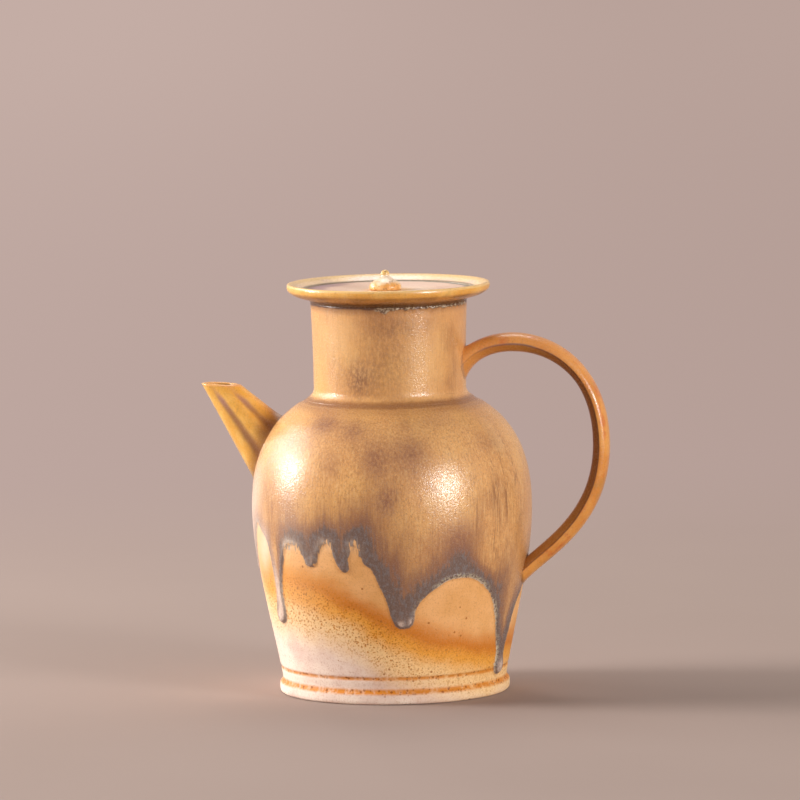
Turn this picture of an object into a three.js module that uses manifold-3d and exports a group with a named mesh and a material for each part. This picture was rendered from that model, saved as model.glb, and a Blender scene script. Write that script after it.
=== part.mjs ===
// A glazed stoneware ewer with a drop-in lid. Millimetres, +Z up, the origin at the centre of the base.
// The spout points along -X and the handle along +X.
import * as THREE from 'three';
import { mergeVertices } from 'three/addons/utils/BufferGeometryUtils.js';
import Module from 'manifold-3d';

const wasm = await Module();
wasm.setup();

// Belly and foot
const footRadius = 50.6;
const footBulgeHeight = 3.9;
const baseInset = 2.8;
const waistInset = 1.3;
const waistHeight = 7.4;
const bellyRadius = 61.4;
const bellyHeight = 81;
const shoulderInset = 12.8;
const shoulderRise = 38.6;
const slopeRise = 7.8;
const wall = 4;
const floorThickness = 5;
const baseRadius = footRadius - baseInset;
const waistRadius = footRadius - waistInset;
const shoulderRadius = bellyRadius - shoulderInset;
const shoulderHeight = bellyHeight + shoulderRise;

// Neck and mouth
const neckRadius = 34.4;
const neckWall = 3.3;
const neckLength = 43.8;
const neckWaisting = 0.9;
const neckFootFlare = 4.3;
const neckFootRise = 5.1;
const mouthDepth = 8;
const lipFlare = 10;
const lipThickness = 3.2;
const galleryLedge = 5.9;
const galleryFloor = 3.2;
const galleryDepth = 2.5;
const boreRadius = neckRadius - neckWall;
const neckWaistRadius = neckRadius - neckWaisting;
const neckFootRadius = neckWaistRadius + neckFootFlare;
const neckBottom = shoulderHeight + slopeRise;
const neckTop = neckBottom + neckLength;
const lipHeight = neckTop + mouthDepth;
const lipRadius = neckRadius + lipFlare;
const galleryRadius = boreRadius + galleryLedge;
const galleryHeight = neckTop + galleryFloor;

// Lid
const lidClearance = 0.6;
const lidThickness = 2.2;
const lidCentreRadius = 16.5;
const lidDish = 0.7;
const collarClearance = 1;
const collarThickness = 3;
const collarDrop = 6;
const knobRadius = 7;
const knobFootRadius = 5.6;
const knobBunHeight = 6;
const knobTipRadius = 1.8;
const knobTipHeight = 2.8;
const knobOffset = 1.3;

// Spout
const spoutProjection = 15.4;
const spoutMouthRise = 14.4;
const spoutMouthRadius = 6.2;
const spoutSlope = 49;
const spoutHalfAngle = 13;
const spoutWall = 2;
const pouringHoleDiameter = 5;
const pouringHoleSpacing = 7.6;
const spoutMouthReach = bellyRadius + spoutProjection;
const spoutMouthHeight = shoulderHeight + spoutMouthRise;

// Handle: where it springs from the neck and how it starts, its reach and how full it is above and below,
// and where and how it comes back to the belly
const handleWidth = 13;
const handleThickness = 7.8;
const handleSpring = 13.4;
const handleStartOut = 9.6;
const handleStartUp = 19.9;
const handleProjection = 31.3;
const handleReachRise = 27.6;
const handleFullness = 49.9;
const handleTuck = 34.8;
const handleJointDrop = 34.8;
const handleEndOut = 12.3;
const handleEndUp = 14.6;
const handleReach = bellyRadius + handleProjection;
const handleNeckJoint = neckBottom + handleSpring;

// The seam of slip between two luted pieces, where one is cut to the other's curve
const seam = 0.3;
const turns = 48;

const point = (radius, height) => new THREE.Vector2(radius, height);

// A lathe form with its shared vertices merged and the empty triangles at its poles taken out.
function turned(profile) {
  const lathe = new THREE.LatheGeometry(profile, turns);
  lathe.rotateX(Math.PI / 2);
  return closed(lathe);
}

function closed(geometry) {
  geometry.deleteAttribute('normal');
  geometry.deleteAttribute('uv');
  const merged = mergeVertices(geometry, 1e-4);
  const corners = merged.index.array;
  const kept = [];
  for (let i = 0; i < corners.length; i += 3) {
    const [a, b, c] = corners.slice(i, i + 3);
    if (a !== b && b !== c && c !== a) {
      kept.push(a, b, c);
    }
  }
  merged.setIndex(kept);
  return merged;
}

function solidOf(geometry) {
  const vertProperties = new Float32Array(geometry.attributes.position.array);
  const triVerts = new Uint32Array(geometry.index.array);
  return new wasm.Manifold(new wasm.Mesh({ numProp: 3, vertProperties, triVerts }));
}

function geometryOf(solid) {
  const mesh = solid.getMesh();
  const geometry = new THREE.BufferGeometry();
  geometry.setAttribute('position', new THREE.BufferAttribute(mesh.vertProperties, 3));
  geometry.setIndex(new THREE.BufferAttribute(mesh.triVerts, 1));
  return geometry;
}

// The outside of the belly from the foot's waist to the neck, as points with their outward normals.
function bellyCurve() {
  const side = new THREE.CubicBezierCurve(
    point(waistRadius, waistHeight),
    point(waistRadius + 2, waistHeight + 18.6),
    point(bellyRadius, bellyHeight - 21),
    point(bellyRadius, bellyHeight),
  );
  const turnOver = new THREE.CubicBezierCurve(
    point(bellyRadius, bellyHeight),
    point(bellyRadius, bellyHeight + 18),
    point(shoulderRadius + 8, shoulderHeight - 9),
    point(shoulderRadius, shoulderHeight),
  );
  const slope = new THREE.QuadraticBezierCurve(
    point(shoulderRadius, shoulderHeight),
    point((shoulderRadius + neckFootRadius) / 2, (shoulderHeight + neckBottom) / 2),
    point(neckFootRadius, neckBottom),
  );
  const stations = [];
  for (const [curve, count] of [[side, 9], [turnOver, 8], [slope, 4]]) {
    for (let i = stations.length ? 1 : 0; i <= count; i += 1) {
      const tangent = curve.getTangent(i / count);
      stations.push({ at: curve.getPoint(i / count), normal: point(tangent.y, -tangent.x) });
    }
  }
  return stations;
}

const belly = bellyCurve();

// The filled outer form of the vessel, grown by a margin: pieces luted on the side are cut to it.
function vesselForm(margin) {
  const grown = belly.map(({ at, normal }) => at.clone().addScaledVector(normal, margin));
  return solidOf(turned([
    point(0, -margin),
    point(footRadius + margin, -margin),
    point(footRadius + margin, waistHeight),
    ...grown.slice(0, -1),
    point(neckFootRadius + margin, neckBottom),
    ...neckSide().map((at) => point(at.x + margin, at.y)),
    point(0, neckTop),
  ]));
}

const spoutAngle = THREE.MathUtils.degToRad(spoutSlope);
const spoutTaper = Math.tan(THREE.MathUtils.degToRad(spoutHalfAngle));

// Local +Z runs up the spout's own axis, with its origin at the middle of the mouth.
function alongSpout(geometry) {
  geometry.rotateY(spoutAngle - Math.PI / 2);
  geometry.translate(-spoutMouthReach, 0, spoutMouthHeight);
  return geometry;
}

// The body is thrown with its foot, and pierced where the spout goes.
function bodyGeometry() {
  const outer = belly.map(({ at }) => at);
  const inner = belly.map(({ at, normal }) => at.clone().addScaledVector(normal, -wall));
  const hollow = inner.filter((at) => at.x > boreRadius && at.y > floorThickness + wall).reverse();
  const foot = new THREE.QuadraticBezierCurve(
    point(baseRadius, 0),
    point(footRadius + 0.6, footBulgeHeight / 3),
    point(footRadius, footBulgeHeight),
  );
  const shell = solidOf(turned([
    point(0, 0),
    ...foot.getPoints(4),
    ...outer,
    point(boreRadius, neckBottom),
    point(boreRadius, neckBottom - wall),
    ...hollow,
    point(hollow.at(-1).x - wall, floorThickness),
    point(0, floorThickness),
  ]));
  const drillLength = 60;
  const drillRadius = pouringHoleDiameter / 2;
  let pierced = shell;
  for (const [across, up] of holePattern()) {
    const drill = new THREE.CylinderGeometry(drillRadius, drillRadius, drillLength, 10);
    drill.rotateX(Math.PI / 2);
    drill.translate(up, across, -drillLength);
    pierced = pierced.subtract(solidOf(closed(alongSpout(drill))));
  }
  return geometryOf(pierced);
}

// One hole in the middle and six round it, square to the spout's axis.
function holePattern() {
  const holes = [[0, 0]];
  for (let i = 0; i < 6; i += 1) {
    const angle = (i * Math.PI) / 3;
    holes.push([pouringHoleSpacing * Math.cos(angle), pouringHoleSpacing * Math.sin(angle)]);
  }
  return holes;
}

function neckSide() {
  const fillet = new THREE.QuadraticBezierCurve(
    point(neckFootRadius, neckBottom),
    point(neckWaistRadius + 0.1, neckBottom + 0.2 * neckFootRise),
    point(neckWaistRadius, neckBottom + neckFootRise),
  );
  const straight = new THREE.QuadraticBezierCurve(
    point(neckWaistRadius, neckBottom + neckFootRise),
    point(neckWaistRadius, neckBottom + neckLength / 2),
    point(neckRadius, neckTop),
  );
  return [...fillet.getPoints(4), ...straight.getPoints(6).slice(1)];
}

function neckGeometry() {
  return turned([
    point(boreRadius, neckBottom),
    ...neckSide(),
    point(boreRadius, neckTop),
    point(boreRadius, neckBottom),
  ]);
}

// The dish flares out under the lip, and its inside falls to the gallery that carries the lid.
function mouthDishGeometry() {
  const under = new THREE.QuadraticBezierCurve(
    point(neckRadius, neckTop),
    point(lipRadius - lipThickness - 0.7, neckTop + 1.6),
    point(lipRadius - 0.5, lipHeight - 2.7),
  );
  const edge = new THREE.QuadraticBezierCurve(
    point(lipRadius - 0.5, lipHeight - 2.7),
    point(lipRadius + 0.7, lipHeight - 0.9),
    point(lipRadius - 1.1, lipHeight),
  );
  return turned([
    point(boreRadius, neckTop),
    ...under.getPoints(5),
    ...edge.getPoints(4).slice(1),
    point(lipRadius - 2.2, lipHeight - 0.3),
    point(galleryRadius + 0.3, galleryHeight + galleryDepth),
    point(galleryRadius, galleryHeight),
    point(boreRadius, galleryHeight),
    point(boreRadius, neckTop),
  ]);
}

// A cone with its bore, cut level at the mouth and to the shoulder's curve at the root.
function spoutGeometry() {
  const above = 14;
  const below = 60;
  const radiusAt = (distance) => spoutMouthRadius + distance * spoutTaper;
  const cone = turned([
    point(0, -below),
    point(radiusAt(below), -below),
    point(radiusAt(-above), above),
    point(0, above),
  ]);
  const bore = turned([
    point(0, -below - 1),
    point(radiusAt(below + 1) - spoutWall, -below - 1),
    point(Math.max(radiusAt(-above - 1) - spoutWall, 0.4), above + 1),
    point(0, above + 1),
  ]);
  const level = new THREE.BoxGeometry(120, 120, 60);
  level.translate(-spoutMouthReach, 0, spoutMouthHeight + 30);
  const solid = solidOf(alongSpout(cone))
    .subtract(solidOf(alongSpout(bore)))
    .subtract(solidOf(closed(level)))
    .subtract(vesselForm(seam));
  return geometryOf(solid);
}

// A pulled strap, a little flattened, that springs from the neck and comes back to the belly.
function handleGeometry() {
  const at = (radius, height) => new THREE.Vector3(radius, 0, height);
  const outermost = bellyHeight + handleReachRise;
  const bellyJoint = at(bellyRadius - 2.3 * wall, bellyHeight - handleJointDrop);
  const route = new THREE.CurvePath();
  route.add(new THREE.CubicBezierCurve3(
    at(boreRadius + 0.7, handleNeckJoint),
    at(boreRadius + 0.7 + handleStartOut, handleNeckJoint + handleStartUp),
    at(handleReach, outermost + handleFullness),
    at(handleReach, outermost),
  ));
  route.add(new THREE.CubicBezierCurve3(
    at(handleReach, outermost),
    at(handleReach, outermost - handleTuck),
    at(bellyJoint.x + handleEndOut, bellyJoint.z + handleEndUp),
    bellyJoint,
  ));
  const sides = 14;
  const section = new THREE.Shape();
  for (let i = 0; i < sides; i += 1) {
    const angle = (2 * Math.PI * i) / sides;
    const across = (handleWidth / 2) * Math.sign(Math.cos(angle)) * Math.abs(Math.cos(angle)) ** 0.8;
    const through = (handleThickness / 2) * Math.sign(Math.sin(angle)) * Math.abs(Math.sin(angle)) ** 0.8;
    if (i === 0) {
      section.moveTo(across, through);
    } else {
      section.lineTo(across, through);
    }
  }
  const strap = new THREE.ExtrudeGeometry(section, { steps: 48, extrudePath: route, curveSegments: 1 });
  return geometryOf(solidOf(closed(strap)).subtract(vesselForm(seam)));
}

// A flat disc whose top sinks a little towards the knob
function lidDiscGeometry() {
  const lidRadius = galleryRadius - lidClearance;
  const top = galleryHeight + lidThickness;
  return turned([
    point(0, galleryHeight),
    point(lidRadius - 0.5, galleryHeight),
    point(lidRadius, galleryHeight + 0.5),
    point(lidRadius, top - 0.7),
    point(lidRadius - 0.9, top),
    point(lidRadius - 5, top - 0.2 * lidDish),
    point(lidCentreRadius, top - lidDish),
    point(0, top - lidDish),
  ]);
}

function lidCollarGeometry() {
  const collarRadius = boreRadius - collarClearance;
  const bottom = galleryHeight - collarDrop;
  return turned([
    point(collarRadius - collarThickness, bottom),
    point(collarRadius - 0.6, bottom),
    point(collarRadius, bottom + 1),
    point(collarRadius, galleryHeight),
    point(collarRadius - collarThickness, galleryHeight),
    point(collarRadius - collarThickness, bottom),
  ]);
}

// A bun with a pointed tip, luted a little to the spout's side of the middle
function lidKnobGeometry() {
  const bottom = galleryHeight + lidThickness - lidDish;
  const bun = new THREE.CubicBezierCurve(
    point(knobFootRadius, bottom),
    point(knobRadius + 1.7, bottom + 0.4 * knobBunHeight),
    point(knobRadius - 0.2, bottom + knobBunHeight),
    point(knobTipRadius + 0.4, bottom + knobBunHeight),
  );
  const tip = new THREE.CubicBezierCurve(
    point(knobTipRadius + 0.4, bottom + knobBunHeight),
    point(knobTipRadius, bottom + knobBunHeight + 0.5 * knobTipHeight),
    point(0.5 * knobTipRadius, bottom + knobBunHeight + knobTipHeight),
    point(0, bottom + knobBunHeight + knobTipHeight),
  );
  const knob = turned([point(0, bottom), ...bun.getPoints(8), ...tip.getPoints(5).slice(1)]);
  return knob.translate(-knobOffset, 0, 0);
}

function piece(name, geometry, colour, roughness) {
  const material = new THREE.MeshStandardMaterial({ color: colour, roughness, metalness: 0 });
  const mesh = new THREE.Mesh(geometry, material);
  mesh.name = name;
  return mesh;
}

const vessel = new THREE.Group();
vessel.add(piece('body', bodyGeometry(), 0xb48a55, 0.45));
vessel.add(piece('neck', neckGeometry(), 0xa98754, 0.35));
vessel.add(piece('mouth_dish', mouthDishGeometry(), 0xb08a58, 0.3));
vessel.add(piece('spout', spoutGeometry(), 0xa87838, 0.35));
vessel.add(piece('handle', handleGeometry(), 0xb08048, 0.4));

const lid = new THREE.Group();
lid.add(piece('lid_disc', lidDiscGeometry(), 0x9a8060, 0.3));
lid.add(piece('lid_collar', lidCollarGeometry(), 0xc8a888, 0.8));
lid.add(piece('lid_knob', lidKnobGeometry(), 0xa88050, 0.3));

const ewer = new THREE.Group();
ewer.add(vessel);
ewer.add(lid);

export default ewer;
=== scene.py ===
# Glazed stoneware kettle with a drop-in lid, on a plain studio floor.
import math
import random

import bmesh
import bpy
import numpy as np
from mathutils import Matrix, Vector, kdtree, noise


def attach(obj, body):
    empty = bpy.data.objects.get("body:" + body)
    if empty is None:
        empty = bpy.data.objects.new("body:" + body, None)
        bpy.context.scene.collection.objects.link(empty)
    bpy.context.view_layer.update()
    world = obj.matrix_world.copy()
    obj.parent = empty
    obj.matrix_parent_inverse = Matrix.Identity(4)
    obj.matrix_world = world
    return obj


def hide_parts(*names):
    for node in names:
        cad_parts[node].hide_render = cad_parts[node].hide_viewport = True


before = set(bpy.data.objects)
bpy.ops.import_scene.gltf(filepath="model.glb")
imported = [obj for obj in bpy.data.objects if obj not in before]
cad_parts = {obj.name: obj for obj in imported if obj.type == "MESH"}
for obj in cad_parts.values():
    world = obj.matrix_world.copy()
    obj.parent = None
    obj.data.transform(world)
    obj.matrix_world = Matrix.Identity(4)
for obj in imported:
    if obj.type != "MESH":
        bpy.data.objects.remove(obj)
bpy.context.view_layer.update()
mm = 0.001
print("frame loaded")


# outlines and meshes are in millimetres until a piece is finished

# points: two to four control points, each (radius, height)
def bezier(points, count):
    rows = []
    last = len(points) - 1
    for i in range(count + 1):
        t = i / count
        shares = [math.comb(last, k) * (1 - t) ** (last - k) * t ** k for k in range(last + 1)]
        rows.append(tuple(sum(s * p[axis] for s, p in zip(shares, points)) for axis in (0, 1)))
    return rows


# an outline drawn on from a start: each run is its count and the rest of a curve's points
def drawn(start, *runs):
    rows = [start]
    for count, *points in runs:
        rows += bezier([rows[-1], *points], count)[1:]
    return rows


# one outline from several runs, without doubling the points where they meet
def joined(*runs):
    outline = []
    for run in runs:
        for p in run:
            if not outline or math.dist(p, outline[-1]) > 1e-5:
                outline.append(tuple(p))
    return outline


# the same outline with its points no further apart than step
def spaced(outline, step):
    rows = [outline[0]]
    for a, b in zip(outline, outline[1:]):
        parts = max(1, math.ceil(math.dist(a, b) / step))
        rows += [tuple(p + (q - p) * i / parts for p, q in zip(a, b)) for i in range(1, parts + 1)]
    return rows


# an outline spun about Z, then cut finer round the axis; a ring's outline closes on itself
def turned(outline, steps, finer=1, ring=False):
    bm = bmesh.new()
    verts = [bm.verts.new((r, 0, z)) for r, z in outline]
    edges = [bm.edges.new(pair) for pair in zip(verts, verts[1:])]
    if ring:
        edges.append(bm.edges.new((verts[-1], verts[0])))
    bmesh.ops.spin(bm, geom=verts + edges, cent=(0, 0, 0), axis=(0, 0, 1),
                   angle=2 * math.pi, steps=steps, use_merge=True)
    bmesh.ops.remove_doubles(bm, verts=bm.verts, dist=1e-4)
    if finer > 1:
        ends = [(e, e.verts[0].co, e.verts[1].co) for e in bm.edges]
        around = [e for e, a, b in ends if abs(a.z - b.z) < 1e-5 and abs(a.xy.length - b.xy.length) < 1e-5]
        bmesh.ops.subdivide_edges(bm, edges=around, cuts=finer - 1, use_grid_fill=True)
        wedge = 2 * math.pi / steps
        for vert in bm.verts:      # out from the chord to the circle
            off = math.atan2(vert.co.y, vert.co.x) % wedge - wedge / 2
            grow = math.cos(off) / math.cos(wedge / 2)
            vert.co.x *= grow
            vert.co.y *= grow
    bmesh.ops.recalc_face_normals(bm, faces=bm.faces)
    return bm


# where the vertices are and which way they face
def measured(bm):
    bm.normal_update()
    return np.array([v.co for v in bm.verts]), np.array([v.normal for v in bm.verts])


def moveTo(bm, places):
    for vert, spot in zip(bm.verts, places):
        vert.co = spot


# soft lumps about 20 mm wide
def lumps(co, tall):
    return np.array([noise.noise(Vector((x * 0.05, y * 0.05, z * tall))) for x, y, z in co])


def addObject(name, data):
    thing = bpy.data.objects.new(name, data)
    bpy.context.scene.collection.objects.link(thing)
    return thing


def finishPiece(bm, name, material, body, nodes):
    mesh = bpy.data.meshes.new(name)
    bmesh.ops.scale(bm, vec=(mm, mm, mm), verts=bm.verts)
    bm.to_mesh(mesh)
    bm.free()
    mesh.shade_smooth()
    mesh.materials.append(material)
    piece = addObject(name, mesh)
    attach(piece, body)
    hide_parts(*nodes)
    return piece


def giveAttribute(piece, name, values):
    layer = piece.data.attributes.new(name, "FLOAT", "POINT")
    layer.data.foreach_set("value", np.asarray(values, np.float32))


def smooth(value, low, high):
    t = np.clip((value - low) / (high - low), 0, 1)
    return t * t * (3 - 2 * t)


# angles in degrees, counted from the front (-Y) towards the handle (+X)
def angleOf(co):
    return np.degrees(np.arctan2(co[:, 0], -co[:, 1]))


def turnedBy(angle, other):
    return (angle - other + 180) % 360 - 180


# soft spots on a wall: each (angle, height, half width across, half height, strength), in millimetres
def spots(angle, height, radius, places):
    total = np.zeros(len(angle))
    for spotAngle, spotHeight, wide, tall, strength in places:
        across = np.radians(turnedBy(angle, spotAngle)) * radius
        total += strength * np.exp(-(across / wide) ** 2 - ((height - spotHeight) / tall) ** 2)
    return total


# node helpers: each adds one node, or a few, and gives back its output
# those that take a value add to the tree that the value is in

def startMaterial(name):
    material = bpy.data.materials.new(name)
    material.use_nodes = True
    tree = material.node_tree
    return material, tree, tree.nodes["Principled BSDF"]


def plug(socket, value):
    if isinstance(value, bpy.types.NodeSocket):
        socket.id_data.links.new(value, socket)
    elif value is not None:
        socket.default_value = value


def maths(operation, a, b=None, c=None):
    node = a.id_data.nodes.new("ShaderNodeMath")
    node.operation = operation
    for socket, value in zip(node.inputs, (a, b, c)):
        plug(socket, value)
    return node.outputs[0]


def times(*values):
    result = values[0]
    for value in values[1:]:
        result = maths("MULTIPLY", result, value)
    return result


# a value pushed up and down by a cloud, by half of reach either way
def wander(value, by, reach):
    return maths("ADD", value, maths("MULTIPLY_ADD", by, reach, -reach / 2))


def mix(share, a, b):
    node = share.id_data.nodes.new("ShaderNodeMix")
    node.data_type = "RGBA"
    for name, value in (("Factor", share), ("A", a), ("B", b)):
        plug(node.inputs[name], value)
    return node.outputs["Result"]


# value from low to high becomes 0 to 1, or outLow to outHigh, smoothly
def between(value, low, high, outLow=0.0, outHigh=1.0):
    node = value.id_data.nodes.new("ShaderNodeMapRange")
    node.interpolation_type = "SMOOTHSTEP"
    if low > high:      # the node smooths only upwards
        low, high, outLow, outHigh = high, low, outHigh, outLow
    settings = {"Value": value, "From Min": low, "From Max": high, "To Min": outLow, "To Max": outHigh}
    for name, number in settings.items():
        plug(node.inputs[name], number)
    return node.outputs[0]


# colours laid over one another, each as (share, colour) or as (value, low, high, most, colour)
def layered(colour, *layers):
    for share, *span, paint in layers:
        if span:
            low, high, most = span
            share = between(share, low, high, 0, most)
        colour = mix(share, colour, paint)
    return colour


def place(tree, stretch=(1, 1, 1), shift=(0, 0, 0)):
    where = tree.nodes.new("ShaderNodeTexCoord")
    mapping = tree.nodes.new("ShaderNodeMapping")
    mapping.inputs["Scale"].default_value = stretch
    mapping.inputs["Location"].default_value = shift
    tree.links.new(where.outputs["Object"], mapping.inputs["Vector"])
    return mapping.outputs[0]


def axisOf(tree, axis):
    split = tree.nodes.new("ShaderNodeSeparateXYZ")
    tree.links.new(place(tree), split.inputs[0])
    return split.outputs[axis]


def cloud(tree, scale, detail=3.0, rough=0.6, stretch=(1, 1, 1), shift=(0, 0, 0)):
    node = tree.nodes.new("ShaderNodeTexNoise")
    plug(node.inputs["Vector"], place(tree, stretch, shift))
    for name, number in (("Scale", scale), ("Detail", detail), ("Roughness", rough)):
        node.inputs[name].default_value = number
    return node.outputs["Fac"]


# round spots in a share of the cells of a Voronoi texture, from 0 to 1
def specks(tree, scale, size, share, shift=(0, 0, 0)):
    node = tree.nodes.new("ShaderNodeTexVoronoi")
    plug(node.inputs["Vector"], place(tree, shift=shift))
    node.inputs["Scale"].default_value = scale
    split = tree.nodes.new("ShaderNodeSeparateColor")
    tree.links.new(node.outputs["Color"], split.inputs["Color"])
    chosen = maths("LESS_THAN", split.outputs[0], share)
    width = maths("MULTIPLY_ADD", split.outputs[1], size * 0.7, size * 0.45)
    inside = maths("SUBTRACT", width, node.outputs["Distance"])
    return times(chosen, between(inside, 0.0, size * 0.3))


def attribute(tree, name):
    node = tree.nodes.new("ShaderNodeAttribute")
    node.attribute_name = name
    return node.outputs["Fac"]


def bump(height, distance, strength, under=None):
    node = height.id_data.nodes.new("ShaderNodeBump")
    settings = {"Height": height, "Distance": distance, "Strength": strength, "Normal": under}
    for name, value in settings.items():
        plug(node.inputs[name], value)
    return node.outputs[0]


# a mix of two shaders, as a surface
def mixShaders(share, a, b, surface):
    blend = share.id_data.nodes.new("ShaderNodeMixShader")
    for socket, value in zip(blend.inputs, (share, a, b)):
        plug(socket, value)
    plug(surface, blend.outputs[0])


# a colour from 0 to 255 as it is seen, as the shader wants it
def rgb(red, green, blue):
    seen = [c / 255 for c in (red, green, blue)]
    return (*[c / 12.92 if c <= 0.04045 else ((c + 0.055) / 1.055) ** 2.4 for c in seen], 1)


glaze = {
    "tan": rgb(220, 160, 98),
    "ochre": rgb(234, 176, 104),
    "light": rgb(246, 200, 138),
    "brown": rgb(164, 110, 66),
    "mauve": rgb(134, 92, 72),
    "slate": rgb(112, 90, 80),
    "blue": rgb(124, 115, 114),
    "ash": rgb(176, 162, 136),
    "pale": rgb(214, 192, 164),
    "iron": rgb(84, 52, 30),
    "satin": 0.24,      # roughness
    "shine": 0.6,
    "veil": 0.36,       # a rough coat that spreads the reflections
    "veilRoughness": 0.5,
    "peel": 0.48,       # strength of the orange peel
}


# tan glaze with ochre and brown clouds, a leathery mottle and fine strands running downwards
def glazeColour(tree, grain=1.0):
    wide = cloud(tree, 24, 3, 0.5)
    patches = cloud(tree, 52, 3, 0.55, stretch=(1, 1, 0.7), shift=(0, 0, 0.3))
    leather = cloud(tree, 1200, stretch=(1, 1, 0.7))
    strands = cloud(tree, 1300, 2, 0.55, stretch=(1, 1, 0.08))
    fine = cloud(tree, 2300, 2)
    return layered(
        glaze["tan"],
        (wide, 0.4, 0.66, 1, glaze["ochre"]),
        (patches, 0.54, 0.76, 0.5, glaze["brown"]),
        (patches, 0.44, 0.26, 0.4, glaze["light"]),
        (strands, 0.52, 0.66, 0.26 * grain, glaze["light"]),
        (strands, 0.47, 0.34, 0.24 * grain, glaze["brown"]),
        (leather, 0.52, 0.66, 0.28 * grain, glaze["brown"]),
        (leather, 0.46, 0.34, 0.2 * grain, glaze["light"]),
        (fine, 0.56, 0.7, 0.5 * grain, glaze["iron"]),
    )


# a fine brown speckle for the smaller pieces
def speckle(tree, most):
    return cloud(tree, 1500), 0.52, 0.7, most, glaze["brown"]


# smudges where their attribute says, broken up by the leathery mottle
def smudge(tree, least, paint):
    leather = cloud(tree, 820, stretch=(1, 1, 0.6))
    return times(attribute(tree, "smudge"), between(leather, 0.36, 0.6, least, 0.85)), paint


# uneven gloss and the fine peel that breaks up a reflection; bare is the share of dull clay
def glazeSurface(tree, shader, colour, roughness, bare=None, peel=1.0):
    shine, veil = glaze["shine"], glaze["veil"]
    peel *= glaze["peel"]
    grain = cloud(tree, 2300, 2)
    gloss = between(grain, 0.3, 0.7, roughness - 0.07, roughness + 0.09)
    glitter = between(cloud(tree, 1400, 2), 0.36, 0.64, 0.4 * shine, 1.6 * shine)
    coat = None
    if bare is not None:
        gloss = maths("MULTIPLY_ADD", bare, 0.3, gloss)
        glitter = times(glitter, between(bare, 0, 1, 1, 0.4))
        coat = between(bare, 0, 1, veil, 0.14)
    waves = bump(cloud(tree, 260, 2, 0.5), 0.0004, 0.1)
    pitted = bump(cloud(tree, 1250, 2, 0.5), 0.00022, peel, waves)
    numbers = {"Coat Weight": veil, "Coat Roughness": glaze["veilRoughness"], "Specular IOR Level": shine}
    links = {"Base Color": colour, "Roughness": gloss, "Coat Weight": coat, "Specular IOR Level": glitter,
             "Normal": bump(grain, 0.0001, peel, pitted)}
    # the numbers first: a linked socket holds a fair value of its own too
    for name, value in [*numbers.items(), *links.items()]:
        plug(shader.inputs[name], value)


def glazed(name, paint, roughness=glaze["satin"], peel=0.5):
    material, tree, shader = startMaterial(name)
    glazeSurface(tree, shader, paint(tree), roughness, peel=peel)
    return material


print("helpers ready")

# the camera, at the photograph's viewing angle; angles in degrees, distance and height in metres

camera = {
    "azimuth": 8.5,        # towards the handle
    "distance": 3.045,
    "height": 0.4503,
    "down": 6.054,
    "aside": 0.081,
    "roll": 0.98,
    "lens": 315,
}
cameraData = bpy.data.cameras.new("camera")
cameraData.lens = camera["lens"]
cameraData.sensor_width = 36
cameraData.clip_end = 30
cameraObject = addObject("camera", cameraData)
turn = math.radians(camera["azimuth"])
eye = (camera["distance"] * math.sin(turn), -camera["distance"] * math.cos(turn), camera["height"])
cameraObject.matrix_world = (
    Matrix.Translation(eye)
    @ Matrix.Rotation(turn - math.radians(camera["aside"]), 4, "Z")
    @ Matrix.Rotation(math.radians(90 - camera["down"]), 4, "X")
    @ Matrix.Rotation(-math.radians(camera["roll"]), 4, "Z")
)
bpy.context.scene.camera = cameraObject

# body: belly, foot and the glaze that runs down it

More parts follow.
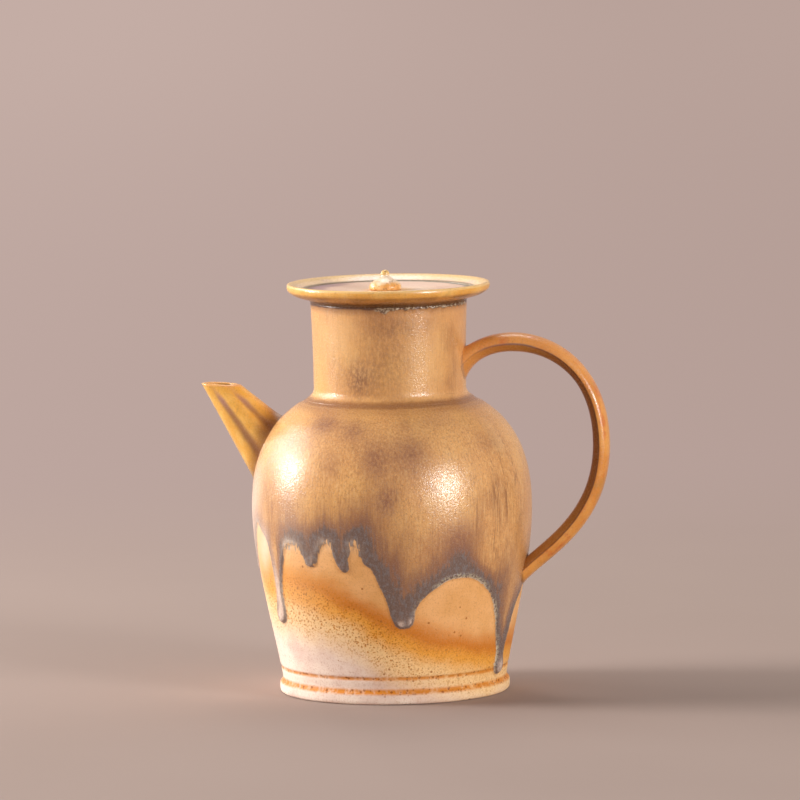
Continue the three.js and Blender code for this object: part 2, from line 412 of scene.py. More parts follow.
bodyShape = {
    "foot": 50.4,
    "footHeight": 3.9,
    "base": 48.6,
    "waist": 49.1,
    "waistHeight": 7.2,
    "belly": 61.0,
    "bellyHeight": 81,
    "shoulder": 48.3,
    "shoulderHeight": 119.6,
    "neckSeat": 38.4,
    "neckSeatHeight": 127.3,
    "bore": 31.1,
    "wall": 3.7,
    "floor": 5,
    "steps": 60,
    "finer": 7,
    "runRows": 0.64,       # rows where the glaze ends, and above
    "upperRows": 1.3,
    "glaze": 0.35,
    "rolledEdge": 0.22,
    "grooves": [(11.4, 0.55, 0.4), (5.6, 0.6, 0.35)],      # height, half width, depth
    "runRadius": 57,       # of the belly where the runs end, to turn angles into millimetres
    "runTop": 105,         # all is glaze above it, as far inside the edge as deepest says
    "deepest": 40.0,
    "underside": -30,      # bare clay
    # where the glaze ends, as (angle, height)
    "runs": [
        (-78, 55), (-73.5, 57), (-70.5, 66), (-67, 74), (-64.5, 76), (-61, 74), (-56, 69.5), (-54, 61.5),
        (-53.5, 50), (-55, 44), (-57, 38.5), (-56.3, 34.8), (-53.6, 33.2), (-50.6, 34.4), (-48.6, 38),
        (-48.3, 48), (-45.2, 59), (-42.5, 66), (-39.5, 69.3), (-36, 69), (-33.4, 67), (-31.5, 63.5),
        (-29.6, 61), (-27.6, 60.3), (-25.4, 62), (-24, 66.5), (-21, 70.8), (-18.4, 70), (-16.6, 65.5),
        (-14.6, 60.8), (-12, 58.8), (-10.2, 60.5), (-10.2, 65), (-8.4, 70.6), (-6.4, 69.8), (-4.5, 65),
        (-3.4, 62.5), (-0.6, 60.3), (2.2, 54), (5, 47.5), (6.9, 40.5), (8.4, 36.5), (10.4, 34.3),
        (13, 33.9), (16, 34.6), (17.6, 37.5), (18.2, 42), (21.5, 47), (27.5, 51.5), (32.5, 54.3),
        (38, 55.2), (43.5, 54.6), (48.5, 52.3), (55.5, 46.5), (60, 38.5), (64.3, 27.5), (67.6, 18.5),
        (67.2, 13.5), (69, 10), (72, 8.8), (75, 10), (76.6, 13.5), (75.3, 18.5), (77, 27.5), (79, 36),
        (83, 42), (90, 46.5), (98, 47), (106, 50), (114, 58), (120, 61), (126, 58), (129, 50), (130.5, 42),
        (133, 37.5), (136, 38), (138.5, 44), (141, 54), (148, 62), (157, 64), (165, 59), (169.5, 50),
        (173, 42), (177, 39.6), (181, 43), (184, 52), (190, 61), (197, 66), (203, 63), (206.5, 56),
        (210, 52), (213.5, 56), (217, 65), (223, 68.4), (230, 66), (234.6, 58), (237, 46), (238, 34),
        (239.4, 27), (242, 24.6), (244.8, 27.5), (246, 36), (248, 50), (253, 60), (261, 65), (268, 63),
        (274, 58),
    ],
    # beads where runs pooled: angle, height, half width, half height, thickness
    "beads": [
        (-53.4, 36.5, 2.6, 3.6, 0.9), (13, 37.5, 3.8, 3.2, 0.7), (72, 12.8, 3.4, 3.8, 1.3),
        (-27.6, 62.5, 2.2, 2.4, 0.4), (-12.2, 61, 2, 2.4, 0.45), (134.5, 41, 2.8, 3.6, 0.9),
        (177, 42.5, 3, 3.4, 0.8), (210, 54.5, 2.4, 2.6, 0.5), (242, 28.5, 2.8, 3.8, 1.1),
    ],
    # where the glaze thins to a pale haze at the tops of the bare patches
    "haze": [
        (-64.5, 77, 4, 4, 0.3), (-40.5, 70, 4, 5, 1), (-35, 70, 4, 4, 0.5), (-20, 71.5, 4.5, 4.5, 0.6),
        (-7.6, 71, 4, 4, 0.5), (-28, 64, 4, 5, 0.25), (120, 62, 6, 4, 0.7), (157, 65, 7, 4, 0.8),
        (197, 67, 6, 4, 0.8), (223, 69, 7, 4, 0.7),
    ],
    # mauve smudges and dark plumes
    "smudge": [
        (-28, 121, 7, 4, 0.9), (-10.5, 119, 7, 5, 0.8), (-18, 105, 5, 6, 0.5), (1, 107, 6, 8, 0.9),
        (14, 74, 6, 8, 0.3), (9.5, 60, 5, 12, 0.8), (16, 109, 8, 8, 0.85), (6.5, 90, 5.5, 8, 1),
        (-6.5, 83, 6, 8, 0.8), (36.5, 71, 10, 9, 1), (-45, 112, 7, 7, 0.35), (60, 112, 9, 5, 0.4),
        (28, 122, 12, 3, 0.35), (110, 104, 12, 10, 0.6), (150, 116, 10, 6, 0.6), (185, 98, 9, 12, 0.6),
        (225, 112, 12, 8, 0.5), (255, 96, 8, 12, 0.5), (140, 84, 8, 9, 0.6),
    ],
    "plumeMost": 8,
    # how far slate climbs above the edge, as extra millimetres
    "plume": [
        (36, 68, 7, 7, 5), (9, 57, 6, 12, 1), (-28, 74, 7, 6, 2.5), (-6, 74, 4.5, 8, 5), (-18, 75, 4, 5, 3),
        (-36, 73, 4, 5, 2.5), (37, 63, 7, 5, 2), (12, 44, 6, 8, 1.5), (72, 26, 4, 9, 1.5),
        (133, 52, 6, 10, 4), (178, 54, 6, 9, 3), (241, 44, 6, 12, 4), (210, 66, 6, 8, 3),
    ],
    # where the dark edge of a run stays narrow
    "narrow": [
        (-51.5, 47, 5, 15, 1), (-52.5, 62, 6, 9, 0.9), (-64, 70, 10, 14, 1), (-62, 62, 5, 10, 0.8),
        (67, 34, 7, 12, 0.35), (52, 64, 7, 8, 0.5), (84, 46, 10, 8, 0.5), (134, 50, 4, 8, 0.7),
        (177, 50, 5, 8, 0.6),
    ],
    # pale, milky glaze in thin runs and beads
    "milk": [
        (-51.6, 47, 1.9, 15, 0.9), (-53.6, 36.5, 2, 3, 0.95), (11.5, 36, 1.4, 1.6, 1),
        (16.3, 37, 1.4, 1.6, 1), (72, 12.5, 2.6, 3, 1), (134.5, 41, 2, 3, 0.9), (177, 42.5, 2, 3, 0.8),
        (242, 28.5, 2, 3, 0.9),
    ],
    # crusts and pale lines along the edge
    "edging": [
        (38, 56, 11, 3.5, 1), (30, 53, 5, 3, 0.8), (50, 52, 6, 4, 0.9), (60, 38, 3, 14, 0.9),
        (67, 18, 3, 10, 1), (77, 22, 2.5, 14, 0.7), (19, 42, 3, 7, 0.4), (-64, 75, 6, 6, 0.6),
        (-54.5, 48, 2, 12, 0.5), (-48.5, 48, 2, 12, 0.4), (106, 50, 14, 5, 0.8), (148, 62, 10, 5, 0.7),
        (197, 66, 10, 5, 0.7), (223, 68, 8, 5, 0.6), (261, 65, 12, 5, 0.8),
    ],
    # painted sheen: paler glaze below the spout and on its side of the front, standing in for the pale
    # reflection of the lamps on the left
    "paintedSheen": [
        (-68, 90, 11, 15, 0.45), (-80, 76, 12, 17, 0.6), (-38, 80, 10, 12, 0.12), (-42, 112, 14, 8, 0.12),
        (-62, 63, 5, 9, 0.4), (-57, 69, 4, 8, 0.45), (-52, 46, 2.5, 13, 0.4), (-112, 78, 12, 15, 0.3),
        (-76, 40, 9, 24, 0.4), (-40, 46, 16, 14, 0.12),
    ],
    # fine dark streaks: four seen from the front, more all round
    "streak": [
        (45, 80, 1.6, 24, 0.7), (56, 82, 2.2, 26, 0.9), (63, 84, 1.8, 24, 0.8), (72, 87, 2.4, 24, 0.7),
    ],
    "moreStreaks": 70,
    # height of the orange flash on the bare clay, going round
    "flash": [
        (-180, 46), (-140, 50), (-100, 53), (-46, 52.5), (-30, 50.5), (-18, 47), (-8, 42), (5, 34),
        (22, 27.5), (36, 24.5), (60, 20), (90, 20.5), (130, 31), (180, 46),
    ],
}


# outside from the middle of the base up to the neck, then down the inside to the middle of the floor
def bodyOutline(s):
    base, foot, waist, belly, shoulder = [s[k] for k in ("base", "foot", "waist", "belly", "shoulder")]
    waistUp, bellyUp, shoulderUp = s["waistHeight"], s["bellyHeight"], s["shoulderHeight"]
    seat, seatUp, bore, floor = s["neckSeat"], s["neckSeatHeight"], s["bore"], s["floor"]
    lower = [(0, 0), (base - 6, 0)] + drawn(
        (base, 0),
        (8, (foot - 0.1, 0), (foot + 0.1, 1.1), (foot, s["footHeight"])),
        (6, (foot - 0.1, 5.4), (waist - 0.2, 6), (waist, waistUp)),
        (60, (waist + 3.5, waistUp + 20), (belly, bellyUp - 23), (belly, bellyUp)),
    )
    upper = drawn(
        (belly, bellyUp),
        (40, (belly, bellyUp + 18), (shoulder + 8.4, shoulderUp - 9), (shoulder, shoulderUp)),
        (14, (shoulder - 3.6, shoulderUp + 3.4), (seat + 2.9, seatUp - 1.9), (seat + 0.07, seatUp - 0.05)),
    )
    outside = joined(spaced(lower, s["runRows"]), spaced(upper, s["upperRows"]))
    inner = [(r - s["wall"], z) for r, z in joined(lower, upper) if floor + 6 < z < shoulderUp - 5.6]
    inside = joined(
        [(bore, seatUp - 5), (bore + 4, seatUp - 8)],
        spaced(inner[::-1], 5)[::3],
        [(inner[0][0] - 1.2, floor + 3), (inner[0][0] - 5, floor), (20, floor), (0, floor)],
    )
    return joined(outside, [(seat, seatUp), (seat - 0.1, seatUp), (bore, seatUp)], inside), outside


# a smooth closed line through points of (angle, height), in millimetres, with the way it runs
def wrappedLine(points, radius, parts=40):
    ring = np.array(points, float)
    turns = np.concatenate([ring + (-360, 0), ring, ring + (360, 0)])
    rows = []
    for a, b, c, d in zip(turns, turns[1:], turns[2:], turns[3:]):
        t = np.linspace(0, 1, parts, endpoint=False)[:, None]
        rows.append(0.5 * (2 * b + (c - a) * t + (2 * a - 5 * b + 4 * c - d) * t ** 2
                           + (3 * b - a - 3 * c + d) * t ** 3))
    line = np.concatenate(rows)
    line = line[np.abs(line[:, 0]) < 290]      # once round and a good overlap
    line[:, 0] = np.radians(line[:, 0]) * radius
    return line, np.gradient(line, axis=0)


# how far inside the glaze each place is; below zero it is on bare clay
def runDistance(angle, height, points, radius):
    line, ways = wrappedLine(points, radius)
    tree = kdtree.KDTree(len(line))
    for i, (x, z) in enumerate(line):
        tree.insert((x, z, 0), i)
    tree.balance()
    result = np.empty(len(angle))
    for i, (x, z) in enumerate(zip(np.radians(angle) * radius, height)):
        near, index, gap = tree.find((x, z, 0))
        way = ways[index]
        side = way[0] * (z - near.y) - way[1] * (x - near.x)
        result[i] = math.copysign(gap, side)
    return result


bodyLine, bodyOutside = bodyOutline(bodyShape)
bodyMesh = turned(bodyLine, bodyShape["steps"], bodyShape["finer"])
co, normals = measured(bodyMesh)
up = co[:, 2]
radial = np.hypot(co[:, 0], co[:, 1])
outward = (normals[:, 0] * co[:, 0] + normals[:, 1] * co[:, 1]) > 0
outer = outward & (radial > bodyShape["neckSeat"] - 0.05) & (up > 0.05)
angle = angleOf(co)
run = np.full(len(co), bodyShape["deepest"])
low = outer & (up < bodyShape["runTop"])
run[low] = runDistance(angle[low], up[low], bodyShape["runs"], bodyShape["runRadius"])
run[~outer & (up < 3)] = bodyShape["underside"]

# the glaze stands out from the clay, with a rolled edge and beads where it pooled
rolled = bodyShape["glaze"] + bodyShape["rolledEdge"] * np.exp(-((run - 1.2) / 1.0) ** 2)
layer = smooth(run, -0.1, 0.8) * rolled
layer += spots(angle, up, radial, bodyShape["beads"]) * smooth(run, 0, 1.5)
layer += 0.12 * lumps(co, 0.02) + 0.02 * np.sin(up * 1.4 + np.sin(up * 0.2)) * (run < 0)
for height, width, depth in bodyShape["grooves"]:
    layer -= depth * np.exp(-((up - height) / width) ** 2) * smooth(-run, -0.6, 0.4)
layer[~outer] = 0
layer *= smooth(bodyShape["neckSeatHeight"] - up, 0, 1.5)
moved = co + normals * layer[:, None]
moved[:, 2] = np.maximum(moved[:, 2], 0)
moveTo(bodyMesh, moved)

flashLine = np.array(bodyShape["flash"])
flash = np.clip(up - np.interp(angle, flashLine[:, 0], flashLine[:, 1]), -60, 60)


# bare clay below the runs: cream, then speckled ochre, the orange flash, and tan above it
def bareClay(tree):
    blush = cloud(tree, 60, 3, 0.5)
    ragged = cloud(tree, 75, 4, 0.6)
    fine = cloud(tree, 1300, 3, 0.65)
    across = axisOf(tree, 0)
    sway = wander(maths("MULTIPLY_ADD", ragged, 10, -5), fine, 6)
    fromFlash = maths("ADD", attribute(tree, "flash"), sway)
    warm = mix(between(blush, 0.35, 0.7), rgb(246, 186, 122), rgb(232, 170, 102))
    band = times(between(fromFlash, -5, 2), between(across, -0.046, -0.006, 0.35, 1))
    dusty = times(between(fromFlash, -27, -12), between(fromFlash, 7, -1))
    dusty = times(dusty, between(across, 0.03, -0.005, 0.45, 1))
    ochreDust = maths("MAXIMUM", specks(tree, 860, 0.42, 0.85), specks(tree, 1150, 0.4, 0.8, (0, 0.5, 0)))
    brownDust = maths("MAXIMUM", specks(tree, 760, 0.36, 0.55, (0.3, 0, 0)),
                      specks(tree, 480, 0.24, 0.25, (0, 0.2, 0)))
    sparse = times(specks(tree, 400, 0.22, 0.22, (0, 0, 0.4)), between(fromFlash, -48, -16))
    return layered(
        rgb(252, 230, 212),
        (blush, 0.35, 0.65, 1, rgb(234, 204, 188)),
        (fromFlash, -31, -13, 1, rgb(252, 210, 150)),
        (fromFlash, -14, -4, 1, rgb(240, 166, 66)),
        (band, rgb(212, 126, 42)),
        (fromFlash, 1, 13, 1, warm),
        (times(ochreDust, dusty, 0.9), rgb(204, 122, 10)),
        (times(brownDust, dusty, 0.8), rgb(172, 96, 0)),
        (times(sparse, 0.8), rgb(170, 98, 30)),
        (times(specks(tree, 900, 0.4, 0.4, (0.7, 0, 0)), 0.16), rgb(150, 88, 40)),
        (fine, 0.5, 0.66, 0.3, rgb(188, 124, 68)),
    )


# the stained grooves near the foot
def grooveStain(tree, colour):
    height = axisOf(tree, 2)
    broken = cloud(tree, 300, 4, 0.7, stretch=(1, 1, 0.3))
    dots = specks(tree, 760, 0.5, 0.6, (0.1, 0.1, 0))
    for level, width, strength in ((0.0114, 0.0013, 0.9), (0.0056, 0.0019, 1)):
        away = maths("ABSOLUTE", maths("SUBTRACT", height, level))
        stain = times(between(away, width, width * 0.2), between(broken, 0.32, 0.56, 0.4, strength))
        colour = layered(colour, (stain, rgb(212, 130, 36)), (times(stain, dots, 0.9), rgb(140, 72, 6)))
    return colour


def bodyMaterial():
    material, tree, shader = startMaterial("body glaze and clay")
    wobble = cloud(tree, 700, 3, 0.65)
    streaks = cloud(tree, 1000, 2, 0.55, stretch=(1, 1, 0.1))
    threads = cloud(tree, 1300, 2, stretch=(1, 1, 0.02))
    lanes = cloud(tree, 110, stretch=(1, 1, 0.15))
    leather = cloud(tree, 820, stretch=(1, 1, 0.6))
    crumbs = cloud(tree, 900, 3, 0.65, shift=(0.2, 0.4, 0))
    inside, haze, edging, milk = [attribute(tree, name) for name in ("run", "haze", "edging", "milk")]
    # the edge wanders a little everywhere, and in fine streaks where the glaze thins to a haze
    edge = wander(inside, wobble, 1.3)
    edge = maths("ADD", edge, times(haze, maths("MULTIPLY_ADD", streaks, 28, -14.4)))
    # lanes of glaze are slate further up than others
    deep = maths("SUBTRACT", inside, attribute(tree, "plume"))
    deep = times(deep, maths("MULTIPLY_ADD", attribute(tree, "narrow"), 2.4, 1))
    deep = maths("DIVIDE", deep, maths("MULTIPLY_ADD", lanes, 1.5, 0.3))
    deep = maths("ADD", deep, wander(maths("MULTIPLY_ADD", streaks, 9, -4.5), leather, 3))
    deep = maths("ADD", deep, times(haze, maths("MULTIPLY_ADD", streaks, 22, -11)))
    bluish = times(between(deep, 10, 4), between(leather, 0.48, 0.62, 0, 0.7))
    lined = maths("MULTIPLY_ADD", edging, 0.85, 0.1)
    coat = layered(
        glazeColour(tree, 1.2),
        smudge(tree, 0.55, rgb(136, 88, 68)),
        (times(attribute(tree, "streak"), between(threads, 0.5, 0.6, 0, 0.75)), rgb(122, 78, 48)),
        (deep, 28, 11, 0.4, rgb(150, 98, 64)),
        (deep, 15.5, 7, 0.75, glaze["mauve"]),
        (deep, 7, 3.2, 0.95, glaze["slate"]),
        (bluish, glaze["blue"]),
        (times(edging, between(edge, 2.8, 1), between(crumbs, 0.46, 0.56)), glaze["ash"]),
        (times(haze, between(edge, 6.5, 1), between(streaks, 0.4, 0.58, 0.1, 0.8)), rgb(226, 202, 178)),
        (times(milk, between(edge, 0.7, 1.7), between(crumbs, 0.36, 0.56, 0.35, 1)), rgb(224, 196, 178)),
        (times(lined, between(edge, 0.85, 0.35), between(crumbs, 0.36, 0.5)), glaze["pale"]),
    )
    clay = layered(
        grooveStain(tree, bareClay(tree)),
        (edge, -1.4, -0.1, 0.3, rgb(176, 112, 60)),
        (times(haze, between(edge, -6, -1), 0.6), rgb(236, 206, 170)),
    )
    bare = between(edge, 0.12, -0.12)
    colour = layered(
        mix(bare, coat, clay),
        # painted sheen laid over glaze and clay on the spout's side of the front
        (attribute(tree, "paintedSheen"), rgb(252, 224, 204)),
        (axisOf(tree, 2), 0.1236, 0.1272, 0.4, rgb(140, 92, 60)),      # browner in the crease below the neck
    )
    glazeSurface(tree, shader, colour, glaze["satin"], bare)
    return material


more = random.Random(4)
for _ in range(bodyShape["moreStreaks"]):
    bodyShape["streak"].append((more.uniform(-180, 180), more.uniform(66, 108), more.uniform(0.5, 0.9),
                                more.uniform(6, 20), more.uniform(0.15, 0.55)))
body = finishPiece(bodyMesh, "body_shell", bodyMaterial(), "vessel", ["body"])
giveAttribute(body, "run", run)
giveAttribute(body, "flash", flash)
for name in ("haze", "smudge", "narrow", "milk", "edging", "paintedSheen", "streak", "plume"):
    most = bodyShape["plumeMost"] if name == "plume" else 1
    giveAttribute(body, name, np.clip(spots(angle, up, radial, bodyShape[name]), 0, most))
print("body made")

# neck: straight, with a fillet at its foot and a crust of glaze below the lip

neckShape = {
    "foot": 38.4,
    "crease": 36.7,
    "creaseHeight": 128.6,
    "waist": 33.3,
    "waistHeight": 133,
    "top": 34.2,
    "bore": 31.1,
    "bottom": 127.3,
    "height": 43.9,
    "steps": 60,
    "finer": 6,
    "crustFrom": -2,       # degrees
    "crustTo": 84,
    "crust": 0.55,         # thickness, with beads on it
    "spotRadius": 34,      # to turn angles into millimetres
    "heap": (4.5, 4.5),    # angle and half width of its widest place
    "smudge": [
        (-16, 139, 7, 8, 0.9), (6, 148, 13, 16, 0.5), (14, 163, 12, 5, 0.5), (-38, 146, 5, 10, 0.25),
        (120, 150, 12, 10, 0.5), (190, 160, 14, 8, 0.6), (250, 140, 10, 9, 0.5), (60, 136, 8, 5, 0.3),
    ],
    # lighter patches of glaze; the two at the far left of the neck, where the lamps fall, are painted light
    "light": [
        (-72, 150, 14, 22, 0.4), (-48, 156, 8, 14, 0.3), (-28, 161, 9, 8, 0.7), (36, 150, 10, 16, 0.35),
        (160, 146, 14, 14, 0.6),
    ],
}


# the outside goes on up the shoulder's slope to a soft crease, and from there turns upright
def neckOutline(s):
    foot, crease, waist, bore = s["foot"], s["crease"], s["waist"], s["bore"]
    bottom, creaseUp = s["bottom"], s["creaseHeight"]
    top = bottom + s["height"]
    lower = drawn(
        (foot - 0.07, bottom + 0.05),
        (8, (crease + 0.7, creaseUp - 0.5), (crease + 0.1, creaseUp - 0.3), (crease, creaseUp)),
        (16, (crease - 0.1, creaseUp + 0.4), (waist + 0.3, creaseUp + 1.3), (waist, s["waistHeight"])),
    )
    upper = spaced(drawn(lower[-1], (14, (waist, bottom + 24), (s["top"], top))), 1.1)
    straight = [p for p in joined(lower, upper) if p[1] < top - 6]
    return joined(
        [(bore, bottom), (foot - 0.1, bottom), (foot, bottom)],
        straight, spaced([straight[-1], (s["top"], top)], 0.4),
        [(bore, top), (bore, bottom + 22)],
    )


def neckColour(tree):
    ragged = wander(axisOf(tree, 2), cloud(tree, 200), 0.0016)
    fromCrease = maths("ABSOLUTE", maths("SUBTRACT", ragged, 0.1285))
    crust = mix(between(cloud(tree, 900, 3, 0.65), 0.42, 0.56), rgb(112, 84, 60), rgb(176, 154, 126))
    return layered(
        glazeColour(tree, 0.65),
        # lighter patches, partly painted light on the lamp-lit left of the neck
        (times(attribute(tree, "light"), 0.6), rgb(234, 188, 130)),
        smudge(tree, 0.35, rgb(136, 92, 64)),
        (fromCrease, 0.0026, 0.0004, 0.72, rgb(122, 74, 46)),
        # painted shade: a dark band round the top of the neck, under the lip
        (ragged, 0.1668, 0.1706, 0.6, rgb(128, 82, 50)),
        (ragged, 0.1698, 0.1706, 0.9, rgb(84, 52, 32)),
        (attribute(tree, "crust"), 0.3, 0.6, 1, crust),
    )


neckMesh = turned(neckOutline(neckShape), neckShape["steps"], neckShape["finer"], ring=True)
co, normals = measured(neckMesh)
up = co[:, 2]
angle = angleOf(co)
neckTop = neckShape["bottom"] + neckShape["height"]
outer = np.hypot(co[:, 0], co[:, 1]) > neckShape["bore"] + 1
crumbs = np.array([noise.fractal(Vector((x * 0.5, y * 0.5, z * 0.3)), 0.6, 2.1, 4) for x, y, z in co])
within = smooth(turnedBy(angle, neckShape["crustFrom"]), -3, 3)
within *= smooth(-turnedBy(angle, neckShape["crustTo"]), -5, 5)
heapAngle, heapWidth = neckShape["heap"]
heap = np.exp(-(turnedBy(angle, heapAngle) / heapWidth) ** 2)
hang = neckTop - 0.55 - 0.5 * crumbs - 0.9 * heap
crust = within * np.exp(-((up - hang) / (0.62 + 0.3 * crumbs + 0.7 * heap)) ** 2)
crust *= smooth(crumbs + heap, -0.35, 0.05)
swell = crust * np.maximum(neckShape["crust"] + 0.8 * crumbs, 0.1)
swell += 0.1 * lumps(co, 0.03) * smooth(up, neckShape["bottom"] + 2, neckShape["bottom"] + 8)
swell[~outer] = 0
swell *= smooth(neckTop + 0.2 - up, 0, 0.5)
moveTo(neckMesh, co + normals * swell[:, None])
neckGlaze = glazed("neck glaze", neckColour, peel=1.0)
neck = finishPiece(neckMesh, "neck_wall", neckGlaze, "vessel", ["neck"])
giveAttribute(neck, "crust", crust)
for name in ("smudge", "light"):
    giveAttribute(neck, name, np.clip(spots(angle, up, neckShape["spotRadius"], neckShape[name]), 0, 1))

# mouth: a flared dish with a rolled lip and the gallery that carries the lid

dishShape = {
    "neck": 34.2,
    "bore": 31.1,
    "bottom": 171.2,
    "lip": 44.3,
    "lipTop": 179.15,
    "gallery": 37,
    "galleryHeight": 174.4,
    "galleryDepth": 2.3,
    "steps": 60,
    "finer": 5,
}


def dishOutline(s):
    lip, top, neck, bottom = s["lip"], s["lipTop"], s["neck"], s["bottom"]
    gallery, galleryUp = s["gallery"], s["galleryHeight"]
    ledge, ledgeUp = gallery + 0.4, galleryUp + s["galleryDepth"]
    outside = drawn(
        (neck, bottom),
        (8, (neck, bottom + 0.9), (neck + 2, bottom + 1.5), (neck + 4.3, bottom + 2.05)),
        (8, (neck + 6.4, bottom + 2.6), (lip - 2, top - 4.6), (lip - 0.7, top - 3.3)),
        (7, (lip, top - 2.6), (lip + 0.1, top - 1.7), (lip, top - 0.9)),
        (6, (lip - 0.1, top - 0.1), (lip - 0.5, top + 0.05), (lip - 1.1, top)),
        (12, (lip - 2.6, top - 0.1), (ledge + 2.2, ledgeUp + 0.9), (ledge, ledgeUp)),
    )
    return [(s["bore"], bottom), *outside, (gallery, galleryUp + 1.8), (gallery, galleryUp + 0.3),
            (gallery - 0.3, galleryUp), (s["bore"], galleryUp)]


# how far each place is from the vessel's axis
def fromAxis(tree):
    x, y = axisOf(tree, 0), axisOf(tree, 1)
    return maths("SQRT", maths("ADD", times(x, x), times(y, y)))


def dishColour(tree):
    patches = cloud(tree, 90, 3, 0.5, stretch=(1, 1, 0.5))
    height, out = axisOf(tree, 2), fromAxis(tree)
    cream = mix(between(patches, 0.4, 0.65), rgb(252, 216, 170), rgb(244, 210, 184))
    # olive-brown glaze under the lip, darkened there as painted shade
    under = mix(between(patches, 0.4, 0.6), rgb(170, 120, 58), rgb(204, 144, 68))
    ledge = times(between(out, 0.0386, 0.0374), between(height, 0.1755, 0.1762))
    return layered(
        rgb(232, 166, 72),
        (patches, 0.4, 0.65, 1, rgb(242, 186, 98)),
        (patches, 0.6, 0.72, 0.6, rgb(158, 112, 52)),
        (out, 0.0434, 0.0418, 1, cream),
        (height, 0.1778, 0.1786, 0.8, rgb(240, 200, 134)),
        # painted shade: the underside of the lip darker, and a dark band where the dish meets the neck
        (height, 0.1764, 0.1752, 1, under),
        (height, 0.1732, 0.1718, 0.9, rgb(92, 58, 32)),
        (ledge, rgb(150, 134, 112)),
        speckle(tree, 0.4),
    )


dishMesh = turned(dishOutline(dishShape), dishShape["steps"], dishShape["finer"], ring=True)
dishGlaze = glazed("mouth glaze", dishColour)
finishPiece(dishMesh, "mouth_rim", dishGlaze, "vessel", ["mouth_dish"])
print("neck and mouth made")

# spout: a fluted cone with a nearly level mouth, luted on the shoulder

spoutShape = {
    "reach": 76.5,          # middle of the mouth
    "mouthHeight": 134.7,
    "mouthTilt": 0.045,     # rise towards the tip
    "mouthRadius": 6.15,
    "slope": 50,
    "halfAngle": 11.7,
    "wall": 2.2,
    # hollows as (degrees from the side that faces the front, half width, strength)
    "hollows": [(-16, 15, 1), (39, 14, 0.9), (-68, 9, 0.25), (141, 14, 0.8), (196, 15, 0.8)],
    "hollowDepth": 0.1,
    "sunk": 1.2,            # how far its root goes into the body's wall
    "fillet": 1.2,
    "blob": (82, 12, 2.6, 1.8),      # a blob of slip: angle, half width, distance above the root, half height
    "lipRound": 0.35,
    "rows": 48,
    "steps": 72,
    "finer": 2,
}


def bellyRadius(height):
    radii, heights = zip(*bodyOutside)
    return float(np.interp(height, heights, radii))


def makeSpout(s):
    rows = s["rows"]
    outer = [(10, i) for i in range(rows + 1)]
    inner = [(8, i) for i in range(rows, -1, -1)]
    bm = turned(joined(outer, [(9, rows + 1)], inner), s["steps"], s["finer"], ring=True)
    taper = math.tan(math.radians(s["halfAngle"]))
    rise = math.radians(s["slope"])
    axis = Vector((-math.cos(rise), 0, math.sin(rise)))
    front = Vector((0, -1, 0))
    over = axis.cross(front)
    mouth = Vector((-s["reach"], 0, s["mouthHeight"]))
    level = Vector((s["mouthTilt"], 0, 1)).normalized()      # square to the mouth's plane
    blobAngle, blobWide, blobUp, blobTall = s["blob"]
    roots = {}
    places = []

    # how far from the mouth a line of the cone meets the belly, less the part that is sunk in
    def root(ray, width):
        near, far = 5.0, 60.0
        for _ in range(24):
            middle = (near + far) / 2
            p = mouth - axis * middle + ray * (width + middle * taper)
            inside = math.hypot(p.x, p.y) < bellyRadius(p.z) - s["sunk"]
            near, far = (near, middle) if inside else (middle, far)
        return far

    for vert in bm.verts:
        across = math.hypot(vert.co.x, vert.co.y)
        around = math.atan2(vert.co.y, vert.co.x)
        depth = (10 - across) / 2 * s["wall"]
        along = min(vert.co.z / rows, 1)
        ray = front * math.cos(around) + over * math.sin(around)
        width = s["mouthRadius"] - depth
        key = (round(around, 4), round(depth, 2))
        if key not in roots:
            roots[key] = root(ray, width)
        lean = ray.dot(level)
        # where this line reaches the mouth's plane
        start = lean * width / (axis.dot(level) - lean * taper)
        distance = roots[key] + (start - roots[key]) * along
        outside = 1 if depth < 0.5 * s["wall"] else 0
        facing = math.degrees(around)
        hollow = outside * max(strength * math.exp(-(float(turnedBy(facing, middle)) / wide) ** 2)
                               for middle, wide, strength in s["hollows"])
        fade = 1 - math.exp(-(distance - start) / 3)
        flute = 1 - s["hollowDepth"] * hollow * (0.4 + 0.6 * fade)
        swell = outside * s["fillet"] * math.exp(-(roots[key] - distance) / 1.6)
        vert.co = mouth - axis * distance + ray * ((width + distance * taper) * flute + swell)
        if along == 1 and abs(depth - s["wall"] / 2) < 0.01:
            vert.co += level * s["lipRound"]
        blob = math.exp(-((distance - roots[key] + blobUp) / blobTall) ** 2
                        - (float(turnedBy(facing, blobAngle)) / blobWide) ** 2)
        places.append((hollow, roots[key] - distance, distance - start, 1 - outside, outside * blob))
    bmesh.ops.recalc_face_normals(bm, faces=bm.faces)
    return bm, np.array(places)


def spoutColour(tree):
    patches = cloud(tree, 110, 3, 0.55)
    mouth = attribute(tree, "mouth")
    ragged = wander(attribute(tree, "hollow"), patches, 0.6)
    dull = mix(between(mouth, 6, 18), rgb(168, 118, 112), rgb(148, 98, 64))
    return layered(
        rgb(232, 170, 70),
        (patches, 0.38, 0.66, 1, rgb(244, 190, 96)),
        (patches, 0.6, 0.76, 0.5, rgb(210, 128, 52)),
        (times(between(ragged, 0.3, 1.05, 0, 0.9), between(mouth, 2, 9, 0.2, 1)), dull),
        (attribute(tree, "root"), 11, 1.5, 0.8, rgb(122, 72, 30)),
        (mouth, 1.2, 0.3, 0.7, rgb(234, 168, 100)),
        # painted shade: the inside darker away from the mouth's edge
        (times(attribute(tree, "inner"), between(mouth, 0.2, 2.5)), rgb(96, 54, 26)),
        (times(attribute(tree, "blob"), 0.9), rgb(206, 198, 192)),
        speckle(tree, 0.35),
    )


